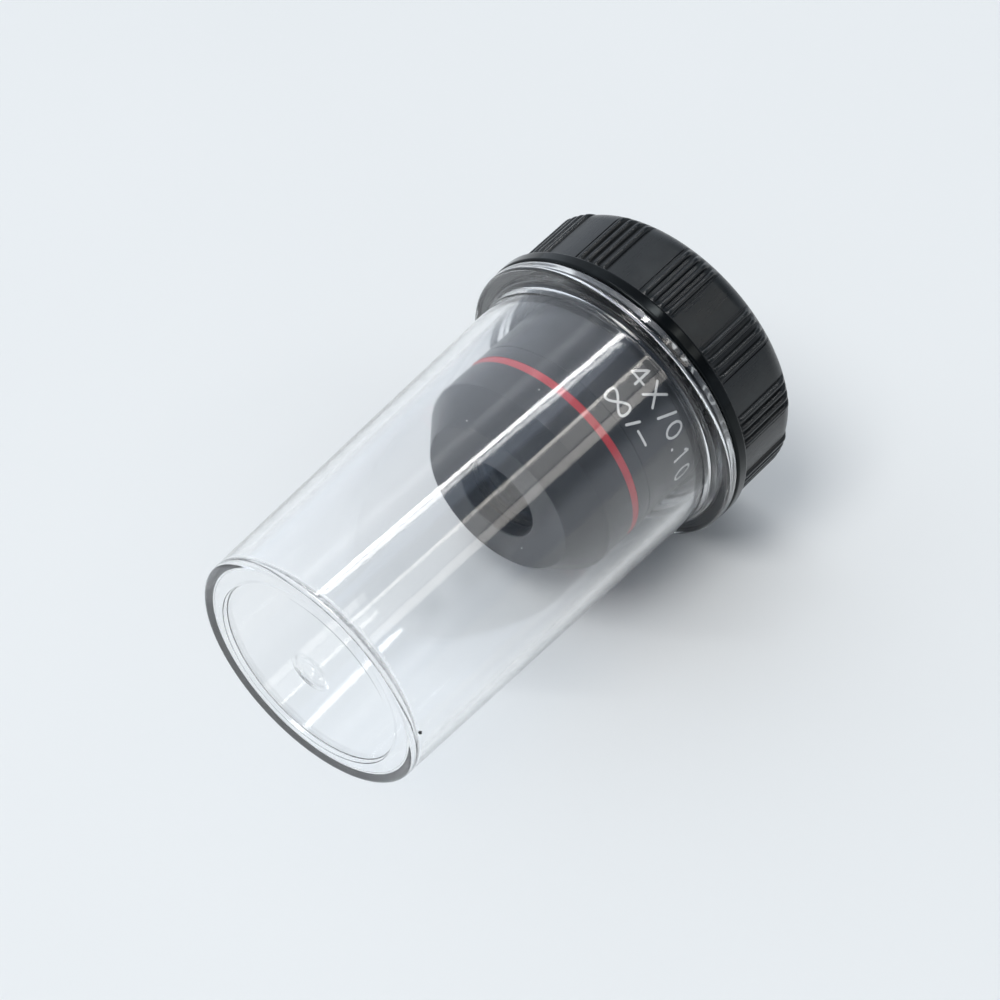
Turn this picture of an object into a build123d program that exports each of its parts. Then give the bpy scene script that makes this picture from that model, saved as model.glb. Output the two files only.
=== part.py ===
from build123d import *
import math
import os

# Microscope objective, screwed into the cap of its clear storage jar.
# Millimetres. +Z runs along the optical axis, from the cap's outer face (z = 0) to the jar's closed end.

# Case cap: one black moulding, with grip ribs outside and a thread boss for the objective inside
cap_height = 10.75
cap_wall = 1.7
cap_body_radius = 16.72
cap_rim_radius = 17.45
cap_rim_height = 1.85
cap_end_round = 2.5
cap_end_depth = 2.2
cap_bore_radius = 15.5
rib_groups = 12
ribs_in_group = 4
rib_pitch_angle = 3.75
rib_width = 0.6
rib_tip_radius = 17.02
rib_group_phase = 12.3
rib_margin = 1.0
rib_root = 0.6
boss_radius = 12.7
boss_drop = 0.08

# Case jar: one clear moulding, drafted towards its closed end
jar_top = 58.25
jar_foot_radius = 14.12
jar_shoulder_radius = 15.31
jar_wall = 1.0
jar_corner_radius = 0.9
jar_inner_corner_radius = 0.6
jar_recess_radius = 11.5
jar_recess_depth = 0.5
jar_base_thickness = 1.0
gate_radius = 2.9
gate_depth = 0.4
gate_nub_radius = 0.8
gate_nub_height = 0.2
flange_radius = 17.37
flange_thickness = 1.5
flange_round = 0.42
flange_fillet = 0.8
flange_seat_gap = 0.03
neck_radius = 15.4
neck_bore_radius = 14.0
neck_length = 8.0

# Objective: outer form
barrel_radius = 12.0
shoulder_gap = 0.03
body_length = 18.45
thread_length = 4.75
thread_radius = 10.16
thread_relief_radius = 9.4
thread_relief_width = 0.75
socket_radius = 10.2
shoulder_thickness = 0.8
ring_groove_start = 0.32
ring_groove_width = 0.2
ring_groove_depth = 0.22
marked_sleeve_length = 7.7
edge_break = 0.15
nose_face_radius = 9.1
nose_cone_length = 3.35
nose_hole_radius = 4.8
nose_wall = 1.7
nose_cone_wall = 1.4
colour_groove_start = 1.8
colour_groove_width = 0.92
colour_groove_depth = 0.08
core_radius = 10.6
core_length = 11.4
core_bore_radius = 7.45

# Objective: lens tube and the stack of lens cells in it
tube_radius = 7.43
tube_bore_radius = 6.02
tube_length = 14.7
tube_lip_thickness = 0.6
tube_lip_radius = 5.0
tube_setback = 2.05
cell_radius = 6.0
cell_length = 4.8
cell_lip_thickness = 0.4
cell_lip_radius = 4.8
lens_radius = 5.2
lens_curve_radius = 40.3
crown_thickness = 2.8
flint_thickness = 1.4
spacer_length = 2.0
spacer_bore_radius = 5.2
stop_thickness = 0.4
stop_hole_radius = 4.5
ring_bore_radius = 4.9
ring_height = 1.4
slot_width = 0.9
slot_depth = 0.5
lock_ring_height = 1.5
lock_ring_bore_radius = 6.2
grub_radius = 1.0
grub_count = 3
grub_length = 2.8
grub_height = 9.6
grub_clearance = 0.02
hex_across_flats = 0.9
hex_depth = 1.1

# Levels along the axis that several pieces share
boss_top = cap_height - boss_drop
shoulder_seat = boss_top + shoulder_gap
sleeve_seat = shoulder_seat + shoulder_thickness
nose_seat = sleeve_seat + marked_sleeve_length
nose_face = shoulder_seat + body_length
tube_front = nose_face - tube_setback
tube_rear = tube_front - tube_length
flange_seat = cap_height + flange_seat_gap
front_cell_face = tube_front - tube_lip_thickness
spacer_top = front_cell_face - cell_length
stop_top = spacer_top - spacer_length
rear_cell_face = stop_top - stop_thickness
ring_top = rear_cell_face - cell_length


def sagitta(half_width):
    """Depth of a lens surface's cap at a given half width."""
    return lens_curve_radius - math.sqrt(lens_curve_radius**2 - half_width**2)


def turned(*edges):
    """Solid of revolution about Z from a closed half section, drawn as (radius, height)."""
    return revolve(Plane.XZ * Face(Wire(edges)), Axis.Z, 360)


def section(*points):
    """Closed half section with straight sides through (radius, height) points, turned about Z."""
    return turned(*Polyline(*points, close=True).edges())


def grip_ribs():
    """Groups of narrow ribs along the cap's grip, rooted in its wall and rounded off towards its closed end."""
    rib_top = cap_height - cap_rim_height + 0.1
    root_radius = cap_body_radius - rib_root
    round_middle = rib_tip_radius - cap_end_round
    toe = (round_middle + math.sqrt(cap_end_round**2 - (cap_end_round - rib_margin) ** 2), rib_margin)
    crest = (rib_tip_radius, cap_end_round)
    side = [
        RadiusArc(toe, crest, -cap_end_round),
        *Polyline(crest, (rib_tip_radius, rib_top), (root_radius, rib_top), (root_radius, rib_margin), toe).edges(),
    ]
    rib = extrude(Plane.XZ * Face(Wire(side)), rib_width / 2, both=True)
    middle = (ribs_in_group - 1) / 2
    ribs = []
    for group in range(rib_groups):
        for number in range(ribs_in_group):
            angle = rib_group_phase + group * 360 / rib_groups + (number - middle) * rib_pitch_angle
            ribs.append(Rot(0, 0, angle) * rib)
    return ribs


def case_cap():
    """Skirted cap: rounded end, ribbed grip, smooth rim, and a central boss bored for the objective's thread."""
    grip_top = cap_height - cap_rim_height
    round_middle = cap_body_radius - cap_end_round
    face_radius = round_middle + math.sqrt(cap_end_round**2 - cap_end_depth**2)
    face_edge = (face_radius, 0)
    grip_foot = (cap_body_radius, cap_end_depth)
    shell = turned(
        RadiusArc(face_edge, grip_foot, -cap_end_round),
        *Polyline(
            grip_foot,
            (cap_body_radius, grip_top),
            (cap_rim_radius, grip_top + 0.5),
            (cap_rim_radius, cap_height - 0.25),
            (cap_rim_radius - 0.25, cap_height),
            (cap_bore_radius + 0.3, cap_height),
            (cap_bore_radius, cap_height - 0.3),
            (cap_bore_radius, cap_wall),
            (boss_radius, cap_wall),
            (boss_radius, boss_top),
            (socket_radius + 0.3, boss_top),
            (socket_radius, boss_top - 0.3),
            (socket_radius, cap_wall),
            (0, cap_wall),
            (0, 0),
            face_edge,
        ).edges(),
    )
    return shell + grip_ribs()


def jar_wall_radius(height):
    """Outer radius of the drafted wall at a height."""
    foot = flange_seat + flange_thickness
    share = (height - foot) / (jar_top - foot)
    return jar_shoulder_radius + (jar_foot_radius - jar_shoulder_radius) * share


def case_jar():
    """Clear jar: neck, flange, drafted wall, rounded end, and a recessed base with the gate mark."""
    flange_top = flange_seat + flange_thickness
    neck_end = flange_seat - neck_length
    body_start = flange_top + flange_fillet
    wall_end = jar_top - jar_corner_radius
    recess_floor = jar_top - jar_recess_depth
    inner_end = recess_floor - jar_base_thickness
    inner_turn = inner_end - jar_inner_corner_radius
    outer = [
        (neck_bore_radius, neck_end),
        (neck_radius - 0.3, neck_end),
        (neck_radius, neck_end + 0.3),
        (neck_radius, flange_seat),
        (flange_radius, flange_seat),
        (flange_radius, flange_top - flange_round),
    ]
    wall_foot = jar_wall_radius(body_start)
    wall_head = jar_wall_radius(wall_end)
    inner_head = jar_wall_radius(inner_turn) - jar_wall
    base = [
        (wall_head - jar_corner_radius, jar_top),
        (jar_recess_radius, jar_top),
        (jar_recess_radius - 0.15, recess_floor),
        (gate_radius, recess_floor),
        (gate_radius - 0.3, recess_floor - gate_depth),
        (gate_nub_radius, recess_floor - gate_depth),
        (gate_nub_radius, recess_floor - gate_depth + gate_nub_height),
        (0, recess_floor - gate_depth + gate_nub_height),
        (0, inner_end),
        (inner_head - jar_inner_corner_radius, inner_end),
    ]

    rim_end = (flange_radius - flange_round, flange_top)
    fillet_start = (wall_foot + flange_fillet, flange_top)
    fillet_end = (wall_foot, body_start)
    wall_top = (wall_head, wall_end)
    cavity_corner = (inner_head, inner_turn)
    cavity_foot = (neck_bore_radius, flange_top)
    return turned(
        *Polyline(*outer).edges(),
        RadiusArc(outer[-1], rim_end, -flange_round),
        Line(rim_end, fillet_start),
        RadiusArc(fillet_start, fillet_end, flange_fillet),
        Line(fillet_end, wall_top),
        RadiusArc(wall_top, base[0], -jar_corner_radius),
        *Polyline(*base).edges(),
        RadiusArc(base[-1], cavity_corner, jar_inner_corner_radius),
        Line(cavity_corner, cavity_foot),
        Line(cavity_foot, outer[0]),
    )


def grub_place(number):
    """Radial frame of one grub screw: X points outwards from the axis."""
    return Pos(0, 0, sleeve_seat + grub_height) * Rot(0, 0, number * 360 / grub_count)


def mount_body():
    """Backbone: thread stud with relief, seat shoulder, and a bored core tube that the sleeves go over."""
    stud_end = shoulder_seat - thread_length
    relief = shoulder_seat - thread_relief_width
    core_end = sleeve_seat + core_length
    groove_start = shoulder_seat + ring_groove_start
    groove_end = groove_start + ring_groove_width
    body = section(
        (core_bore_radius + 0.3, stud_end),
        (thread_radius - 0.3, stud_end),
        (thread_radius, stud_end + 0.3),
        (thread_radius, relief),
        (thread_relief_radius, relief + 0.3),
        (thread_relief_radius, shoulder_seat),
        (barrel_radius - edge_break, shoulder_seat),
        (barrel_radius, shoulder_seat + edge_break),
        (barrel_radius, groove_start),
        (barrel_radius - ring_groove_depth, groove_start),
        (barrel_radius - ring_groove_depth, groove_end),
        (barrel_radius, groove_end),
        (barrel_radius, sleeve_seat - edge_break),
        (barrel_radius - edge_break, sleeve_seat),
        (core_radius, sleeve_seat),
        (core_radius, core_end - 0.3),
        (core_radius - 0.3, core_end),
        (core_bore_radius, core_end),
        (core_bore_radius, stud_end + 0.3),
    )
    for number in range(grub_count):
        body -= grub_place(number) * Pos(core_radius - 2, 0, 0) * Rot(0, 90, 0) * Cylinder(grub_radius, 6)
    return body


def marked_sleeve():
    """Outer sleeve that carries the marks, with broken edges at both joints."""
    return section(
        (core_radius, sleeve_seat),
        (barrel_radius - edge_break, sleeve_seat),
        (barrel_radius, sleeve_seat + edge_break),
        (barrel_radius, nose_seat - edge_break),
        (barrel_radius - edge_break, nose_seat),
        (core_radius, nose_seat),
    )


def nose_sleeve():
    """Front sleeve: colour groove, cone, front face, and the opening over the front lens."""
    groove_start = nose_seat + colour_groove_start
    groove_end = groove_start + colour_groove_width
    groove_radius = barrel_radius - colour_groove_depth
    cone_start = nose_face - nose_cone_length
    inner_face = nose_face - nose_wall
    inner_cone_radius = nose_face_radius - nose_cone_wall + 0.3
    inner_cone_start = inner_face - (core_radius - inner_cone_radius)
    return section(
        (core_radius, nose_seat),
        (barrel_radius - edge_break, nose_seat),
        (barrel_radius, nose_seat + edge_break),
        (barrel_radius, groove_start),
        (groove_radius, groove_start),
        (groove_radius, groove_end),
        (barrel_radius, groove_end),
        (barrel_radius, cone_start),
        (nose_face_radius + 0.1, nose_face - 0.1),
        (nose_face_radius - 0.1, nose_face),
        (nose_hole_radius + edge_break, nose_face),
        (nose_hole_radius, nose_face - edge_break),
        (nose_hole_radius, inner_face),
        (inner_cone_radius, inner_face),
        (core_radius, inner_cone_start),
    )


def lens_tube():
    """Inner tube with a front lip; the lens stack goes in from the rear."""
    return section(
        (tube_bore_radius, tube_rear),
        (tube_radius, tube_rear),
        (tube_radius, tube_front - 0.3),
        (tube_radius - 0.3, tube_front),
        (tube_lip_radius, tube_front),
        (tube_lip_radius, front_cell_face),
        (tube_bore_radius, front_cell_face),
    )


def washer(outer, bore, top, thickness):
    """Plain ring below a level."""
    return section((bore, top - thickness), (outer, top - thickness), (outer, top), (bore, top))


def spanner_ring(outer, bore, top, thickness):
    """Ring with a spanner slot cut across its rear face on both sides."""
    slot = Box(3 * outer, slot_width, 2 * slot_depth)
    return washer(outer, bore, top, thickness) - Pos(0, 0, top - thickness) * slot


def lens_surface(height, half_width, bulge):
    """Arc from the axis to a lens's edge; bulge +1 domes towards +Z and -1 towards -Z."""
    points = []
    for radius in (0, half_width / 2, half_width):
        points.append((radius, height - bulge * sagitta(radius)))
    return ThreePointArc(*points)


def lens_cell(face):
    """Brass cell: a bore for the doublet, with a lip in front that its flint's flat face sits on."""
    seat = face - cell_lip_thickness
    end = face - cell_length
    return section(
        (lens_radius, end),
        (cell_radius, end),
        (cell_radius, face),
        (cell_lip_radius, face),
        (cell_lip_radius, seat),
        (lens_radius, seat),
    )


def flint(cell_face):
    """Flint element: flat face forward, hollow rear face cemented to the crown."""
    face = cell_face - cell_lip_thickness
    hollow = lens_surface(face - flint_thickness, lens_radius, 1)
    return turned(
        Line((0, face), (lens_radius, face)),
        Line((lens_radius, face), hollow @ 1),
        hollow,
        Line(hollow @ 0, (0, face)),
    )


def crown(cell_face):
    """Crown element: equally domed both sides, its front dome cemented in the flint's hollow."""
    middle = cell_face - cell_lip_thickness - flint_thickness
    front = lens_surface(middle, lens_radius, 1)
    back = lens_surface(middle - crown_thickness, lens_radius, -1)
    return turned(front, Line(front @ 1, back @ 1), back, Line(back @ 0, front @ 0))


def grub_screw(number):
    """Grub screw with a hex socket, its point bearing on the lens tube."""
    shank = Cylinder(grub_radius - grub_clearance, grub_length)
    socket = extrude(RegularPolygon(hex_across_flats / 2, 6, major_radius=False), hex_depth)
    screw = shank - Pos(0, 0, grub_length / 2 - hex_depth) * socket
    return grub_place(number) * Pos(tube_radius + grub_length / 2, 0, 0) * Rot(0, 90, 0) * screw


nodes = {
    "case_cap": case_cap(),
    "case_jar": case_jar(),
    "mount_body": mount_body(),
    "marked_sleeve": marked_sleeve(),
    "nose_sleeve": nose_sleeve(),
    "lens_tube": lens_tube(),
    "lens_tube_lock_ring": spanner_ring(tube_radius, lock_ring_bore_radius, tube_rear, lock_ring_height),
    "front_cell": lens_cell(front_cell_face),
    "front_flint": flint(front_cell_face),
    "front_crown": crown(front_cell_face),
    "lens_spacer": washer(cell_radius, spacer_bore_radius, spacer_top, spacer_length),
    "aperture_stop": washer(cell_radius, stop_hole_radius, stop_top, stop_thickness),
    "rear_cell": lens_cell(rear_cell_face),
    "rear_flint": flint(rear_cell_face),
    "rear_crown": crown(rear_cell_face),
    "retaining_ring": spanner_ring(cell_radius, ring_bore_radius, ring_top, ring_height),
}
for number in range(grub_count):
    nodes[f"grub_screw_{number + 1}"] = grub_screw(number)

os.makedirs("parts", exist_ok=True)
for node, shape in nodes.items():
    export_step(shape, f"parts/{node}.step")
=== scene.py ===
import math

import bmesh
import bpy
import numpy as np
from mathutils import Matrix, Vector


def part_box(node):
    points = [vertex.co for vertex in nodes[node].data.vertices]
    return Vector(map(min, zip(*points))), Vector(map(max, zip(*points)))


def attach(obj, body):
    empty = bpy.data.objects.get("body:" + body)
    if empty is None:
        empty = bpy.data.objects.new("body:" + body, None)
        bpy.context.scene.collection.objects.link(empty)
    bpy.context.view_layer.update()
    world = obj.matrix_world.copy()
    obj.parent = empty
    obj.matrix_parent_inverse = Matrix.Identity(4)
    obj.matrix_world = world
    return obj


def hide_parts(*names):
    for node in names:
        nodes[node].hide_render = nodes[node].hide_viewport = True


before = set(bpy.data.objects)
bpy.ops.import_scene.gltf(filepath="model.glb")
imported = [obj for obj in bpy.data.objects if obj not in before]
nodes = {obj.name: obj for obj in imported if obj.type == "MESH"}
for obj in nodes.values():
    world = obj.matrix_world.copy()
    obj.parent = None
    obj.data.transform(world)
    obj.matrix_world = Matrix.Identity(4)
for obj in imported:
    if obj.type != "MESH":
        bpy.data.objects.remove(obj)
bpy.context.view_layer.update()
mm = 0.001


# --- Case cap ---------------------------------------------------------------------------------------------
# One moulding in black polystyrene: a grip with ribs in twelve groups, a smooth rim that the jar's flange
# closes on, and inside the skirt a boss with the standard objective thread.

def filleted(corners, steps=4):
    """Points (radius, height) along a section: each corner (radius, height, fillet) becomes a tangent arc,
    and a guard point close to each end of the arc keeps the neighbouring flats evenly shaded."""
    corner = [np.array(c[:2], float) for c in corners]
    points = [corner[0]]
    for i in range(1, len(corners) - 1):
        fillet = corners[i][2] if len(corners[i]) > 2 else 0
        if not fillet:
            points.append(corner[i])
            continue
        back = corner[i - 1] - corner[i]
        ahead = corner[i + 1] - corner[i]
        back /= np.linalg.norm(back)
        ahead /= np.linalg.norm(ahead)
        half = math.acos(np.clip(back @ ahead, -1, 1)) / 2
        reach = fillet / math.tan(half)
        middle = corner[i] + (back + ahead) / np.linalg.norm(back + ahead) * fillet / math.sin(half)
        start = corner[i] + back * reach - middle
        end = corner[i] + ahead * reach - middle
        sweep = math.pi - 2 * half
        share = np.linspace(0, 1, steps + 1)[:, None]
        arc = middle + (np.sin((1 - share) * sweep) * start + np.sin(share * sweep) * end) / math.sin(sweep)
        guard = 0.12 * fillet
        points += [arc[0] + back * guard, *arc, arc[-1] + ahead * guard]
    points.append(corner[-1])
    return np.array(points)


def screw(height, angle, pitch, low, high):
    """Share of a thread's depth at each height and angle: a ridge that climbs one pitch per turn, with
    flat crest and root, and runs out over half a pitch at both ends."""
    steepness = 1.6
    root_cut = 0.3
    phase = (height - low) / pitch - angle / (2 * math.pi)
    ridge = np.clip(steepness * (1 - np.abs(2 * (phase % 1) - 1)) - root_cut, 0, 1)
    run_out = np.clip(np.minimum(height - low, high - height) / (0.5 * pitch), 0, 1)
    return ridge * run_out


def placed(name, data):
    """A new object for a mesh, a camera or a lamp, linked into the scene."""
    item = bpy.data.objects.new(name, data)
    bpy.context.scene.collection.objects.link(item)
    return item


def upright(radius, heights):
    """Section points at one radius."""
    return np.stack([np.full(len(heights), radius), heights], axis=1)


def turned(name, outline, angle, threads=(), relief=0, ring=False):
    """A form round the axis: each section point (radius, height), in millimetres, is carried round in the
    given directions, its radius plus the relief there. Each thread (root, low, high, pitch, depth) adds its
    depth to the rows that lie at its root radius between its two heights, inwards where the depth is
    negative. The columns close round the axis, and a ring's last row joins its first."""
    radius = np.repeat(outline[:, :1], len(angle), axis=1) + relief
    height = np.repeat(outline[:, 1:], len(angle), axis=1)
    for root, low, high, pitch, depth in threads:
        at_root = np.isclose(outline[:, 0], root) & (outline[:, 1] >= low) & (outline[:, 1] <= high)
        radius = radius + at_root[:, None] * depth * screw(height, angle, pitch, low, high)
    rows, columns = radius.shape
    place = np.stack([radius * np.cos(angle), radius * np.sin(angle), height], axis=-1) * mm
    row, column = np.meshgrid(np.arange(rows if ring else rows - 1), np.arange(columns), indexing="ij")
    after = (row + 1) % rows
    beside = (column + 1) % columns
    quads = np.stack([row * columns + column, row * columns + beside,
                      after * columns + beside, after * columns + column], axis=-1)
    mesh = bpy.data.meshes.new(name)
    mesh.from_pydata(place.reshape(-1, 3).tolist(), [], quads.reshape(-1, 4).tolist())
    work = bmesh.new()
    work.from_mesh(mesh)
    bmesh.ops.remove_doubles(work, verts=work.verts, dist=1e-7)
    bmesh.ops.recalc_face_normals(work, faces=work.faces)
    work.to_mesh(mesh)
    work.free()
    mesh.shade_smooth()
    mesh.set_sharp_from_angle(angle=math.radians(40))
    return placed(name, mesh)


class Value:
    """The output of a node in a graph. Ordinary arithmetic on it adds Math nodes."""

    def __init__(self, graph, socket):
        self.graph = graph
        self.socket = socket

    def math(self, operation, *terms):
        return self.graph.add("ShaderNodeMath", {"operation": operation}, dict(enumerate(terms))).out()

    def __add__(self, other):
        return self.math("ADD", self, other)

    def __mul__(self, other):
        return self.math("MULTIPLY", self, other)

    def __sub__(self, other):
        return self.math("SUBTRACT", self, other)

    def __rsub__(self, other):
        return self.math("SUBTRACT", other, self)

    def __gt__(self, other):
        return self.math("GREATER_THAN", self, other)

    def __lt__(self, other):
        return self.math("LESS_THAN", self, other)

    __radd__ = __add__
    __rmul__ = __mul__


class Added:
    """A node just added to a graph."""

    def __init__(self, graph, node):
        self.graph = graph
        self.node = node

    def out(self, name=0):
        return Value(self.graph, self.node.outputs[name])


class Graph:
    """The nodes of a material or of the room."""

    def __init__(self, tree):
        self.tree = tree

    def add(self, kind, settings=None, sockets=None):
        node = self.tree.nodes.new(kind)
        for setting, value in (settings or {}).items():
            setattr(node, setting, value)
        for socket, value in (sockets or {}).items():
            if isinstance(value, Value):
                self.tree.links.new(value.socket, node.inputs[socket])
            else:
                node.inputs[socket].default_value = value
        return Added(self, node)

    def smooth(self, value, low, high):
        """0 below the low value and 1 above the high one, with an even rise between them."""
        sockets = {"Value": value, "From Min": low, "From Max": high}
        return self.add("ShaderNodeMapRange", {"interpolation_type": "SMOOTHSTEP"}, sockets).out("Result")

    def mix(self, share, first, second):
        """A blend of two colours: the node takes them at its sockets 6 and 7, and gives the blend at 2."""
        return self.add("ShaderNodeMix", {"data_type": "RGBA"}, {0: share, 6: first, 7: second}).out(2)


class Finish(Graph):
    """A material in the making: constants on its shader, and nodes for what changes over the surface."""

    def __init__(self, name, **constants):
        self.material = bpy.data.materials.new(name)
        self.material.use_nodes = True
        super().__init__(self.material.node_tree)
        self.shader = self.tree.nodes["Principled BSDF"]
        self.place = self.add("ShaderNodeTexCoord").out("Object")
        for socket, value in constants.items():
            self.shader.inputs[socket.replace("_", " ")].default_value = value

    def noise(self, scale, detail=3, roughness=0.5, at=None):
        sockets = {"Vector": at or self.place, "Scale": scale, "Detail": detail, "Roughness": roughness}
        return self.add("ShaderNodeTexNoise", None, sockets).out("Fac")

    def stretched(self, x, y, z):
        return self.add("ShaderNodeMapping", None, {"Vector": self.place, "Scale": (x, y, z)}).out("Vector")

    def height(self):
        return self.add("ShaderNodeSeparateXYZ", None, {"Vector": self.place}).out("Z")

    def bump(self, height, strength, distance):
        sockets = {"Height": height, "Strength": strength, "Distance": distance}
        return self.add("ShaderNodeBump", None, sockets).out("Normal")

    def feed(self, **links):
        for socket, value in links.items():
            self.tree.links.new(value.socket, self.shader.inputs[socket.replace("_", " ")])
        return self

    def let_through(self, share, tint=(1, 1, 1, 1)):
        """Puts a transparent surface in place of the finish, by the given share."""
        clear = self.add("ShaderNodeBsdfTransparent", None, {"Color": tint}).out()
        surface = Value(self, self.shader.outputs[0])
        blend = self.add("ShaderNodeMixShader", None, {0: share, 1: surface, 2: clear}).out()
        self.tree.links.new(blend.socket, self.tree.nodes["Material Output"].inputs["Surface"])
        return self


def dress(piece, finish):
    """Gives a piece, or a node of the frame, one finish."""
    piece.data.materials.clear()
    piece.data.materials.append(finish.material)


cap_radius = 16.72


def black_moulding(rim_low):
    """Black polystyrene: a textured grip with fine draw lines along it, rubbed in patches and smoother on the
    crests of its ribs, and above the given height a polished rim."""
    crest_proud = 0.12
    rim_shine = 0.85
    moulded = (0.008, 0.0095, 0.0100, 1)
    rubbed = (0.016, 0.0185, 0.0190, 1)
    finish = Finish("black_moulding", IOR=1.45)
    rub = finish.smooth(finish.noise(260, 4, 0.6), 0.42, 0.75)
    drawn = finish.noise(1.0, 3, 0.6, at=finish.stretched(5200, 5200, 260))
    grain = finish.noise(9000, 2)
    polished = finish.height() > rim_low
    textured = 1 - polished
    outwards = finish.stretched(1, 1, 0)
    from_axis = finish.add("ShaderNodeVectorMath", {"operation": "LENGTH"}, {0: outwards}).out("Value")
    crest = (from_axis > (cap_radius + crest_proud) * mm) * textured
    colour = finish.mix(rub, moulded, rubbed)
    roughness = 0.13 + textured * (0.10 + rub * 0.10 + drawn * 0.10) - crest * 0.10
    relief = textured * (grain * 0.4 + drawn * 0.9)
    normal = finish.bump(relief, 0.5, 0.00003)
    return finish.feed(Base_Color=colour, Roughness=roughness, Metallic=polished * rim_shine, Normal=normal)


cap_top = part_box("case_cap")[1].z / mm
rib_groups = 12
group_angle = 360 / rib_groups
ribs = 4
rib_pitch = 3.75
ribbed_angle = ribs * rib_pitch
first_group_middle = 12.3
first_rib = first_group_middle - ribbed_angle / 2
rib_foot = 0.16
rib_flank = 0.24
rib_proud = 0.28
groove_sunk = 0.14
groove_flat = 0.25
groove_rise = 0.2
end_round = 2.5
end_depth = 2.2
grip_high = cap_top - 1.9
rim_radius = 17.45
skirt_bore = 15.85
floor_top = 1.7
boss_radius = 12.7
socket_root = 10.62
case_pitch = 3.0
case_thread = 0.42
objective_pitch = 0.7056
socket_thread = 0.4

# Directions of the columns within one group: nine to a rib, as shares of its pitch, and then the plain
# stretch, in degrees.
in_rib = np.array([0, 0.16, 0.22, 0.3, 0.4, 0.6, 0.7, 0.78, 0.84])
ribbed = (np.arange(ribs)[:, None] + in_rib).ravel() * rib_pitch
plain = ribbed_angle + np.concatenate([[0, 0.25, 0.45], np.linspace(0.8, 14.2, 6), [14.55, 14.75]])
one_group = np.concatenate([ribbed, plain])
cap_angle = np.radians((first_rib + np.arange(rib_groups)[:, None] * group_angle + one_group).ravel())

swing = np.linspace(math.acos(end_depth / end_round), math.pi / 2, 16)
rounded = np.stack([
    cap_radius - end_round * (1 - np.sin(swing)),
    end_depth - end_round * np.cos(swing),
], axis=1)
face = np.array([(0, 0), (rounded[0, 0] - 0.15, 0)])
rise = np.array([2.3, 4.8, grip_high - 0.7, grip_high - 0.2, grip_high - 0.1, grip_high])
grip = upright(cap_radius, rise)
skirt_thread_low = 3.4
skirt_thread_high = cap_top - 1.0
rim = filleted([
    (cap_radius, grip_high + 0.05), (rim_radius, grip_high + 0.45, 0.25), (rim_radius, cap_top, 0.3),
    (skirt_bore, cap_top, 0.3), (skirt_bore, skirt_thread_high),
], 3)
skirt = upright(skirt_bore, np.linspace(skirt_thread_high, skirt_thread_low, 26)[1:-1])
boss_over_stud_end = 4.72
boss_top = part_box("mount_body")[0].z / mm + boss_over_stud_end
socket_low = 1.9
socket_high = boss_top - 0.35
inside = filleted([
    (skirt_bore, skirt_thread_low), (skirt_bore, floor_top, 0.4), (boss_radius, floor_top, 0.4),
    (boss_radius, boss_top, 0.25), (socket_root, boss_top, 0.2), (socket_root, socket_high),
], 3)
socket = upright(socket_root, np.linspace(socket_high, socket_low, 68)[1:-1])
floor = filleted([(socket_root, socket_low), (socket_root, floor_top, 0.15), (0, floor_top)], 3)
outline = np.concatenate([face, rounded, grip, rim, skirt, inside, socket, floor])

in_group = (np.degrees(cap_angle) - first_rib) % group_angle
in_pitch = (in_group / rib_pitch) % 1
climb = np.clip((0.5 - np.abs(in_pitch - 0.5) - rib_foot) / rib_flank, 0, 1)
rib = np.sin(climb * math.pi / 2) * (rib_proud + groove_sunk) - groove_sunk
edge = np.minimum(in_group - ribbed_angle, group_angle - in_group)
flat = -groove_sunk * np.clip(1 - (edge - groove_flat) / groove_rise, 0, 1)
relief = np.where(in_group < ribbed_angle - 1e-6, rib, flat)
# The ribs fade out over the rounded end and just below the rim.
on_grip = np.arange(len(outline)) < len(face) + len(rounded) + len(grip)
fade = np.clip(outline[:, 1] - 0.5, 0, 1) * np.clip((grip_high - outline[:, 1]) / 0.3, 0, 1) * on_grip
cap = turned("cap_moulding", outline, cap_angle, relief=fade[:, None] * relief, threads=[
    (skirt_bore, skirt_thread_low, skirt_thread_high, case_pitch, -case_thread),
    (socket_root, socket_low, socket_high, objective_pitch, -socket_thread),
])
polish_low = grip_high + 0.4
dress(cap, black_moulding(polish_low * mm))
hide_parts("case_cap")
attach(cap, "cap")


# --- Mount body -------------------------------------------------------------------------------------------
# The objective's backbone, turned from brass and plated satin black: the 20.32 mm thread of 36 turns to the
# inch, a relief groove behind its seat shoulder, and the core that the outer sleeves are clamped on.

def plated_black(name, band=None):
    """Satin black plating over turned brass: fine turning marks round the piece, a little uneven wear, and
    on the nose sleeve the colour band, painted in its groove between two heights."""
    plating_metallic = 0.35
    plated = (0.024, 0.025, 0.028, 1)
    worn = (0.034, 0.035, 0.038, 1)
    red = (0.40, 0.026, 0.036, 1)
    bright_red = (0.48, 0.034, 0.044, 1)
    finish = Finish(name, IOR=1.5, Metallic=plating_metallic)
    turning = finish.noise(1.0, 2, 0.6, at=finish.stretched(40, 40, 14000))
    patch = finish.smooth(finish.noise(180, 3), 0.4, 0.7)
    colour = finish.mix(patch, plated, worn)
    roughness = 0.27 + patch * 0.08 + turning * 0.06
    if band:
        height = finish.height()
        painted = (height > band[0]) * (height < band[1])
        colour = finish.mix(painted, colour, finish.mix(finish.noise(700, 3), red, bright_red))
        roughness = roughness + painted * 0.12
        finish.feed(Metallic=plating_metallic * (1 - painted))
    normal = finish.bump(turning, 0.12, 0.00001)
    return finish.feed(Base_Color=colour, Roughness=roughness, Normal=normal)


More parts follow.
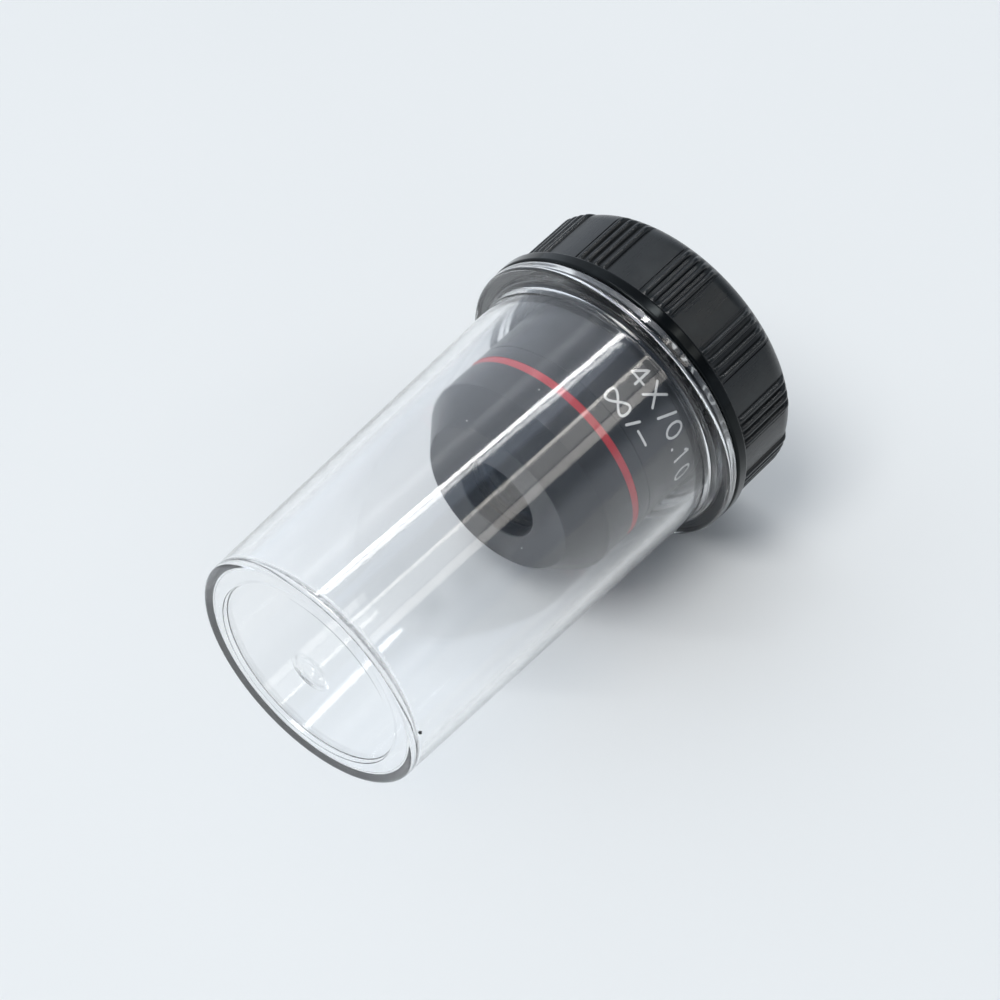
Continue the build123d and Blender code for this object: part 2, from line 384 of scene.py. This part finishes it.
round_angle = np.linspace(0, 2 * math.pi, 192, endpoint=False)
stud_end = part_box("mount_body")[0].z / mm
core_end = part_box("mount_body")[1].z / mm
stud_length = 4.75
shoulder = stud_end + stud_length
marked_low, marked_high = (corner.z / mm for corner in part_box("marked_sleeve"))
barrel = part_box("marked_sleeve")[1].x / mm
core = 10.6
bore = 7.45
thread_crest = 10.14
thread_root = 9.76
thread_low = stud_end + 0.42
thread_top = shoulder - 0.8
relief_radius = 9.4
ring_groove = barrel - 0.22
first = filleted([
    (bore, core_end - 1), (bore, stud_end, 0.25), (thread_root, stud_end, 0.3), (thread_root, stud_end + 0.4),
])
turns = upright(thread_root, np.linspace(thread_low, thread_top, 60))
rest = filleted([
    (thread_root, thread_top + 0.02), (relief_radius, thread_top + 0.3, 0.05),
    (relief_radius, shoulder, 0.08), (barrel, shoulder, 0.15), (barrel, shoulder + 0.28, 0.06),
    (ring_groove, shoulder + 0.34, 0.05), (ring_groove, shoulder + 0.5, 0.05),
    (barrel, shoulder + 0.56, 0.05), (barrel, marked_low, 0.12), (core, marked_low),
    (core, core_end, 0.25), (bore, core_end, 0.1), (bore, core_end - 0.9),
], 3)
black_plate = plated_black("black_plate")
thread = (thread_root, thread_low, thread_top, objective_pitch, thread_crest - thread_root)
mount = turned("mount_body_turned", np.concatenate([first, turns, rest]), round_angle, [thread], ring=True)
dress(mount, black_plate)
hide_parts("mount_body")
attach(mount, "objective")


# --- Marked sleeve ----------------------------------------------------------------------------------------
# A plain sleeve, turned from brass and plated satin black, slid over the core and clamped against the rear
# ring by the nose sleeve.

sleeve = turned("marked_sleeve_turned", filleted([
    (core, marked_low + 1), (core, marked_low, 0.05), (barrel, marked_low, 0.12), (barrel, marked_high, 0.12),
    (core, marked_high, 0.05), (core, marked_low + 1.1),
]), round_angle, ring=True)
dress(sleeve, black_plate)
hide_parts("marked_sleeve")
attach(sleeve, "objective")


# --- Nose sleeve ------------------------------------------------------------------------------------------
# The front sleeve, screwed on the core: a shallow groove filled with the red of a 4x objective, then the cone
# and the flat front face with the opening over the front lens.

nose_low, nose_face = (corner.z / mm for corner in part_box("nose_sleeve"))
band_low = nose_low + 1.8
band_high = band_low + 0.92
band_floor = barrel - 0.07
cone_low = nose_face - 3.35
face_radius = 9.15
opening = 4.8
lip_low = nose_face - 1.7
inner_cone_radius = 8.0
inner_cone_low = nose_face - 4.3
nose = turned("nose_sleeve_turned", filleted([
    (core, nose_low + 1), (core, nose_low, 0.05), (barrel, nose_low, 0.12), (barrel, band_low, 0.03),
    (band_floor, band_low + 0.03, 0.02), (band_floor, band_high - 0.03, 0.02), (barrel, band_high, 0.03),
    (barrel, cone_low, 0.12), (face_radius, nose_face, 0.15), (opening, nose_face, 0.15),
    (opening, lip_low, 0.1), (inner_cone_radius, lip_low, 0.2), (core, inner_cone_low, 0.2),
    (core, nose_low + 1.1),
]), round_angle, ring=True)
dress(nose, plated_black("black_plate_with_red_band", (band_low * mm, band_high * mm)))
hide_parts("nose_sleeve")
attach(nose, "objective")


# --- Marks ------------------------------------------------------------------------------------------------
# Magnification, aperture, tube length and cover glass, engraved with a round cutter and filled with warm
# white paint. They read with their tops towards the thread.

def stroke(points, width=0.29, depth=0.012, ends=5, samples=7):
    """One paint-filled stroke, as x along the barrel's girth and y towards the thread: a band of even width
    carried along the points, with round ends, its cross-section a low arch. Returns x, y and rise arrays."""
    path = np.array(points, float)
    ahead = np.gradient(path, axis=0)
    ahead /= np.linalg.norm(ahead, axis=1)[:, None]
    cap = np.linspace(0, math.pi / 2, ends)[1:]
    first = path[0] - np.sin(cap[::-1])[:, None] * width / 2 * ahead[0]
    last = path[-1] + np.sin(cap)[:, None] * width / 2 * ahead[-1]
    spine = np.concatenate([first, path, last])
    along = np.concatenate([np.repeat(ahead[:1], ends - 1, 0), ahead, np.repeat(ahead[-1:], ends - 1, 0)])
    breadth = np.concatenate([np.cos(cap[::-1]), np.ones(len(path)), np.cos(cap)])
    across = np.linspace(-1, 1, samples)
    side = np.stack([-along[:, 1], along[:, 0]], axis=1)
    flat = spine[:, None] + side[:, None] * (across[:, None] * (breadth[:, None] * width / 2)[:, None])
    rise = depth * (1 - across[None] ** 2) * breadth[:, None]
    return flat[..., 0], flat[..., 1], rise


def line(*ends, count=8):
    """Straight runs between the given points."""
    ends = np.array(ends, float)
    share = np.linspace(0, len(ends) - 1, count * (len(ends) - 1) + 1)
    return np.stack([np.interp(share, np.arange(len(ends)), ends[:, k]) for k in (0, 1)], axis=1)


def loop(wide, high):
    """A closed oval of the given width and height, from its top and back to it."""
    turn = np.radians(90.0 + np.linspace(0, 360.0, 41))
    return np.stack([wide / 2 * np.cos(turn), high / 2 * np.sin(turn)], axis=1)


def infinity(wide, high):
    """A lying figure of eight: x is a cosine, y the sine of twice the angle, pinched to round bowls."""
    turn = np.linspace(0, 2 * math.pi, 61)
    return np.stack([wide / 2 * np.cos(turn), high / 2 * np.sin(2 * turn)], axis=1)


figure = 2.35
half = figure / 2
sign = 1.55
oval = loop(1.4, figure - 0.1)
# Each stroke: its direction in degrees round the barrel, its height in millimetres, and its points.
strokes = [
    (3.2, 13.6, line((0.32, -half), (0.32, half), (-0.88, -0.45), (0.92, -0.45))),
    (15.0, 13.65, line((-0.84, -half), (0.84, half))),
    (15.0, 13.65, line((-0.84, half), (0.84, -half))),
    (27.0, 13.75, line((-0.42, -half), (0.42, half))),
    (35.7, 13.75, oval),
    (44.0, 13.75, line((0, -half + 0.07), (0, -half - 0.01), count=2)),
    (51.6, 13.8, line((-0.32, half - 0.5), (0.05, half - 0.05), (0.05, -half + 0.05))),
    (64.0, 13.8, oval),
    (5.4, 17.7, infinity(3.0, sign)),
    (18.0, 17.8, line((-0.36, -sign / 2), (0.36, sign / 2))),
    (26.8, 17.8, line((-0.85, 0), (0.85, 0))),
]
mark_mesh = bpy.data.meshes.new("white_marks")
mark_work = bmesh.new()
proud = 0.004
for facing, level, points in strokes:
    x, y, rise = stroke(points)
    turn = np.radians(-90 - facing) - x / barrel
    reach = barrel + proud + rise
    place = np.stack([reach * np.cos(turn), reach * np.sin(turn), level - y], axis=-1) * mm
    rows, columns = x.shape
    row, column = np.meshgrid(np.arange(rows - 1), np.arange(columns - 1), indexing="ij")
    corner = row * columns + column
    quads = np.stack([corner, corner + 1, corner + columns + 1, corner + columns], axis=-1)
    one = bpy.data.meshes.new("stroke")
    one.from_pydata(place.reshape(-1, 3).tolist(), [], quads.reshape(-1, 4).tolist())
    mark_work.from_mesh(one)
    bpy.data.meshes.remove(one)
mark_work.to_mesh(mark_mesh)
mark_work.free()
mark_mesh.shade_smooth()
marks = placed("white_marks", mark_mesh)
paint = Finish("mark_paint", Roughness=0.5)
dull_white = (0.60, 0.595, 0.57, 1)
warm_white = (0.70, 0.69, 0.665, 1)
paint.feed(Base_Color=paint.mix(paint.noise(3000, 2), dull_white, warm_white))
dress(marks, paint)
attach(marks, "objective")


# --- Lens tube and lens stack -----------------------------------------------------------------------------
# A brass tube holds two cemented glass doublets in their cells, with a spacer and a stop between them and a
# retaining ring behind, all lacquered black. A bright brass ring locks its depth, and three steel grub screws
# hold it centred.

def turned_brass():
    """Bright turned brass, its tool marks running round it, dulled in patches."""
    bright = (0.72, 0.50, 0.22, 1)
    tarnished = (0.50, 0.34, 0.16, 1)
    finish = Finish("turned_brass", Metallic=1.0)
    tool = finish.noise(1.0, 2, 0.6, at=finish.stretched(60, 60, 9000))
    dull = finish.smooth(finish.noise(400, 3), 0.4, 0.7)
    colour = finish.mix(dull, bright, tarnished)
    normal = finish.bump(tool, 0.2, 0.00001)
    return finish.feed(Base_Color=colour, Roughness=0.24 + dull * 0.16, Normal=normal)


def blackened_brass():
    """Dead black lacquer that keeps stray light down inside the tube."""
    lacquered = (0.008, 0.008, 0.009, 1)
    thin = (0.03, 0.028, 0.022, 1)
    finish = Finish("blackened_brass")
    worn = finish.smooth(finish.noise(900, 4), 0.55, 0.8)
    colour = finish.mix(worn, lacquered, thin)
    return finish.feed(Base_Color=colour, Roughness=0.6 - worn * 0.15)


def coated_glass():
    """Optical glass with a thin coating that reflects a weak blue-violet."""
    blue_violet = (0.55, 0.62, 1.0, 1)
    finish = Finish("coated_glass", IOR=1.52, Roughness=0.02, Transmission_Weight=1.0,
                    Specular_Tint=blue_violet)
    colour = finish.mix(finish.noise(500), (0.90, 0.94, 0.97, 1), (0.94, 0.96, 0.98, 1))
    return finish.feed(Base_Color=colour)


def black_steel():
    """Black oxide on hardened steel."""
    oxide = (0.03, 0.03, 0.033, 1)
    rubbed = (0.08, 0.08, 0.085, 1)
    finish = Finish("black_steel", Metallic=0.8)
    rub = finish.smooth(finish.noise(1500, 3), 0.5, 0.75)
    return finish.feed(Base_Color=finish.mix(rub, oxide, rubbed), Roughness=0.35 + rub * 0.1)


inner_pieces = (
    (turned_brass(), ("lens_tube_lock_ring",)),
    (blackened_brass(), ("lens_tube", "front_cell", "rear_cell", "lens_spacer", "aperture_stop",
                         "retaining_ring")),
    (coated_glass(), ("front_flint", "front_crown", "rear_flint", "rear_crown")),
    (black_steel(), ("grub_screw_1", "grub_screw_2", "grub_screw_3")),
)
for finish, names in inner_pieces:
    for name in names:
        dress(nodes[name], finish)


# --- Case jar ---------------------------------------------------------------------------------------------
# One clear polystyrene moulding, drafted towards its closed end: a recessed base with the gate mark in its
# middle, a flange that closes on the cap's rim, and a neck with a coarse thread.

def clear_moulding():
    """Clear polystyrene, faintly blue in its thickness, with fine handling scratches along its length. Light
    passes straight through it on its way to what is inside."""
    faint_blue = (0.997, 0.999, 1.0, 1)
    passed = (0.985, 0.99, 0.995, 1)
    finish = Finish("clear_moulding", IOR=1.53, Transmission_Weight=1.0, Base_Color=faint_blue,
                    Coat_Roughness=0.10)
    scratches = finish.noise(1.0, 3, 0.6, at=finish.stretched(9000, 9000, 700))
    ripple = finish.noise(120, 2)
    rubbed = finish.smooth(finish.noise(240, 4, 0.6), 0.5, 0.8)
    relief = scratches * 0.6 + ripple * 0.45
    haze = 0.25 + rubbed * 0.25
    finish.feed(Roughness=0.012 + rubbed * 0.05, Coat_Weight=haze, Normal=finish.bump(relief, 0.09, 0.00002))
    path = finish.add("ShaderNodeLightPath")
    return finish.let_through(path.out("Is Shadow Ray") + path.out("Is Diffuse Ray"), passed)


jar_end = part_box("case_jar")[1].z / mm
neck_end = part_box("case_jar")[0].z / mm
neck_length = 8.0
flange_thickness = 1.5
flange_low = neck_end + neck_length
flange_high = flange_low + flange_thickness
flange_radius = 17.37
wall = 1.0
neck_bore = 14.0
foot_radius = 15.31
end_radius = 14.12
taper = (foot_radius - end_radius) / (jar_end - flange_high)


def wall_radius(level):
    """Outer radius of the drafted wall."""
    return end_radius + taper * (jar_end - level)


recess_depth = 0.5
end_thickness = 0.6
recess = jar_end - recess_depth
inner_end = recess - end_thickness
neck_root = 14.95
thread_start = neck_end + 0.7
thread_stop = flange_low - 0.9
recess_radius = 11.15
recess_mouth = 11.32
# From the slightly raised middle of the gate mark across the recess, over the rounded end and down the wall.
body = filleted([
    (0, recess - 0.04), (0.6, recess - 0.04, 0.2), (1.2, recess - 0.015, 0.3), (1.9, recess - 0.08, 0.3),
    (2.5, recess, 0.25), (recess_radius, recess, 0.12), (recess_mouth, jar_end, 0.12),
    (wall_radius(jar_end), jar_end, 0.55), (wall_radius(flange_high), flange_high, 0.8),
    (flange_radius, flange_high, 0.42), (flange_radius, flange_low, 0.34), (neck_root, flange_low, 0.1),
    (neck_root, thread_stop + 0.05),
], 7)
neck = upright(neck_root, np.linspace(thread_stop, thread_start, 36))
cavity = filleted([
    (neck_root, thread_start - 0.05), (neck_root, neck_end, 0.25), (neck_bore, neck_end, 0.25),
    (neck_bore, flange_high, 2.0), (wall_radius(inner_end) - wall, inner_end, 0.4), (0, inner_end),
], 7)
jar_angle = np.linspace(0, 2 * math.pi, 288, endpoint=False)
thread = (neck_root, thread_start, thread_stop, case_pitch, case_thread)
jar = turned("jar_moulding", np.concatenate([body, neck, cavity]), jar_angle, [thread])
dress(jar, clear_moulding())
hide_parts("case_jar")
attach(jar, "jar")


# --- Dust -------------------------------------------------------------------------------------------------
# A crumb of black dust and three pale flecks, each an uneven lump a fraction of a millimetre wide. They
# cling to the outside of the jar.

def crumb(work, level, facing, size, seed):
    """A lump of uneven stone shape: an icosphere whose corners are pushed in and out at random."""
    turn = math.radians(-90 - facing)
    reach = wall_radius(level) + size * 0.25
    place = Vector((reach * math.cos(turn), reach * math.sin(turn), level)) * mm
    lump = bmesh.ops.create_icosphere(work, subdivisions=2, radius=size / 2 * mm)["verts"]
    push = np.random.default_rng(seed).uniform(0.6, 1.15, len(lump))
    for corner, share in zip(lump, push):
        corner.co = corner.co * share + place


def dusty(name, dark, pale):
    """Matt dust, uneven between two colours."""
    finish = Finish(name, Roughness=0.8)
    return finish.feed(Base_Color=finish.mix(finish.noise(5000), dark, pale))


black_dust = dusty("black_dust", (0.010, 0.010, 0.012, 1), (0.03, 0.03, 0.03, 1))
pale_dust = dusty("pale_dust", (0.60, 0.60, 0.58, 1), (0.75, 0.75, 0.72, 1))
# Each kind: its crumbs by height, direction in degrees round the jar, and width.
dust = (
    ("black_dust", black_dust, ((57.2, 55.0, 0.42),)),
    ("pale_dust", pale_dust, ((32.2, -31.5, 0.16), (24.5, -20.0, 0.14), (38.0, 21.0, 0.12))),
)
for name, finish, crumbs in dust:
    dust_mesh = bpy.data.meshes.new(name)
    dust_work = bmesh.new()
    for index, (level, facing, size) in enumerate(crumbs):
        crumb(dust_work, level, facing, size, index)
    dust_work.to_mesh(dust_mesh)
    dust_work.free()
    piece = placed(name, dust_mesh)
    dress(piece, finish)
    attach(piece, "jar")


# --- Table ------------------------------------------------------------------------------------------------
# The case lies on its side on a pale sheet of matt card, touching it at the cap's rim and the jar's end. The
# sheet shows only from above.

lean = math.radians(-30.5)
away = Vector((math.sin(lean), math.cos(lean), 0))
rim_reach = 17.46
rim_level = 10.0
end_reach = 14.14
end_level = 57.0
rim_touch = away * rim_reach * mm + Vector((0, 0, rim_level * mm))
end_touch = away * end_reach * mm + Vector((0, 0, end_level * mm))
along = (end_touch - rim_touch).normalized()
table_up = along.cross(Vector((-away.y, away.x, 0))).normalized()
if table_up.dot(away) > 0:
    table_up = -table_up
across = table_up.cross(along)
gap = 0.05
middle = (rim_touch + end_touch) / 2 - table_up * gap * mm
half_side = 0.9
square = ((-1, -1), (1, -1), (1, 1), (-1, 1))
corners = [middle + along * u * half_side + across * v * half_side for u, v in square]
sheet_mesh = bpy.data.meshes.new("table_sheet")
sheet_mesh.from_pydata([tuple(c) for c in corners], [], [(0, 1, 2, 3)])
if sheet_mesh.polygons[0].normal.dot(table_up) < 0:
    sheet_mesh.flip_normals()
table = placed("table_sheet", sheet_mesh)
card = Finish("pale_sheet", Roughness=0.7)
shade = (0.806, 0.808, 0.788, 1)
light_shade = (0.836, 0.836, 0.815, 1)
card.feed(Base_Color=card.mix(card.noise(14, 2), shade, light_shade))
card.let_through(card.add("ShaderNodeNewGeometry").out("Backfacing"))
dress(table, card)


# --- Camera -----------------------------------------------------------------------------------------------
# A long lens above the nose end, turned so that the case lies from lower left to upper right.

def posed(place, right, up, back):
    """The matrix of a camera or a lamp at a place, from its directions right, up and backwards."""
    return Matrix.Translation(place) @ Matrix((right, up, back)).transposed().to_4x4()


aim = Vector((0, 0, 28.4 * mm))
distance = 387.75
elevation = math.radians(28.3)
roll = math.radians(132.84)
toward = Vector((0, -math.cos(elevation), math.sin(elevation)))
level_up = Vector((0, math.sin(elevation), math.cos(elevation)))
level_right = Vector((1, 0, 0))
right = math.cos(roll) * level_right - math.sin(roll) * level_up
up = math.sin(roll) * level_right + math.cos(roll) * level_up
camera_data = bpy.data.cameras.new("camera")
camera_data.sensor_width = 36
camera_data.lens = 135
camera_data.shift_y = -0.0043
camera_data.clip_start = 0.01
camera_data.clip_end = 20
camera = placed("camera", camera_data)
camera.matrix_world = posed(aim + toward * distance * mm, right, up, toward)
bpy.context.scene.camera = camera


# --- Light ------------------------------------------------------------------------------------------------
# A large soft lamp over the camera's left, a bright strip overhead that draws the long white line on the jar,
# a panel with two brighter edges to its right, a faint blue veil between them, and a room that is pale
# towards the horizon, dim above and bright on its daylight side.

def seen_from_camera(x, y, z):
    """A place in millimetres from the aimed point: right, up and towards the camera."""
    return (right * x + up * y + toward * z) * mm


def lamp(name, one_end, other_end, width, power, colour):
    """A rectangular lamp that runs from one end to the other and faces the aimed point. The ends are places
    as seen from the camera, the width is in millimetres and the power in watts."""
    first = seen_from_camera(*one_end)
    last = seen_from_camera(*other_end)
    data = bpy.data.lights.new(name, "AREA")
    data.shape = "RECTANGLE"
    data.size = (last - first).length
    data.size_y = width * mm
    data.energy = power
    data.color = colour
    place = (first + last) / 2
    run = (last - first).normalized()
    back = place.normalized()
    back = (back - run * back.dot(run)).normalized()
    placed(name, data).matrix_world = posed(aim + place, run, back.cross(run), back)


lamp("main_lamp", (-810, 560, 1300), (-160, 560, 1300), 650, 11.0, (1, 1, 1))
lamp("strip_lamp", (342, 560, 320), (-195, 672, 323), 18, 0.64, (1, 0.995, 0.98))
lamp("panel_lamp", (498, 397, 321), (368, 295, 543), 165, 0.13, (1, 0.97, 0.91))
lamp("panel_edge", (513, 411, 300), (174, 416, 603), 17, 0.11, (1, 0.96, 0.88))
lamp("panel_far_edge", (592, 288, 280), (417, 181, 578), 82, 0.17, (1, 0.96, 0.90))
lamp("veil_lamp", (300, 575, 330), (145, 610, 395), 150, 0.035, (0.72, 0.86, 1.10))

world = bpy.data.worlds.new("room")
scene = bpy.context.scene
scene.world = world
world.use_nodes = True
room = Graph(world.node_tree)
direction = room.add("ShaderNodeTexCoord").out("Generated")
dot = {"operation": "DOT_PRODUCT"}
overhead = room.add("ShaderNodeVectorMath", dot, {0: direction, 1: table_up}).out("Value")
sky = room.add("ShaderNodeValToRGB", None, {"Fac": overhead})
ramp = sky.node.color_ramp
ramp.interpolation = "EASE"
horizon, ceiling = ramp.elements
horizon.position = 0.20
horizon.color = (0.57, 0.62, 0.69, 1)
ceiling.position = 0.85
ceiling.color = (0.19, 0.235, 0.30, 1)
dim = ramp.elements.new(0.48)
dim.color = (0.15, 0.18, 0.22, 1)
day_side = seen_from_camera(-0.6, 0.76, -0.2).normalized()
sideways = room.add("ShaderNodeVectorMath", dot, {0: direction, 1: day_side}).out("Value")
daylight = (0.90, 0.98, 1.09, 1)
room_light = room.mix(room.smooth(sideways, 0.30, 0.85), sky.out("Color"), daylight)
seen = room.add("ShaderNodeLightPath").out("Is Camera Ray")
backdrop = (0.80, 0.84, 0.86, 1)
shown = room.mix(seen, room_light, backdrop)
room.tree.links.new(shown.socket, room.tree.nodes["Background"].inputs["Color"])

bounces = 24
scene.cycles.max_bounces = bounces
scene.cycles.transmission_bounces = bounces
scene.cycles.glossy_bounces = bounces
scene.cycles.caustics_reflective = False
scene.cycles.caustics_refractive = False
scene.view_settings.view_transform = "Standard"
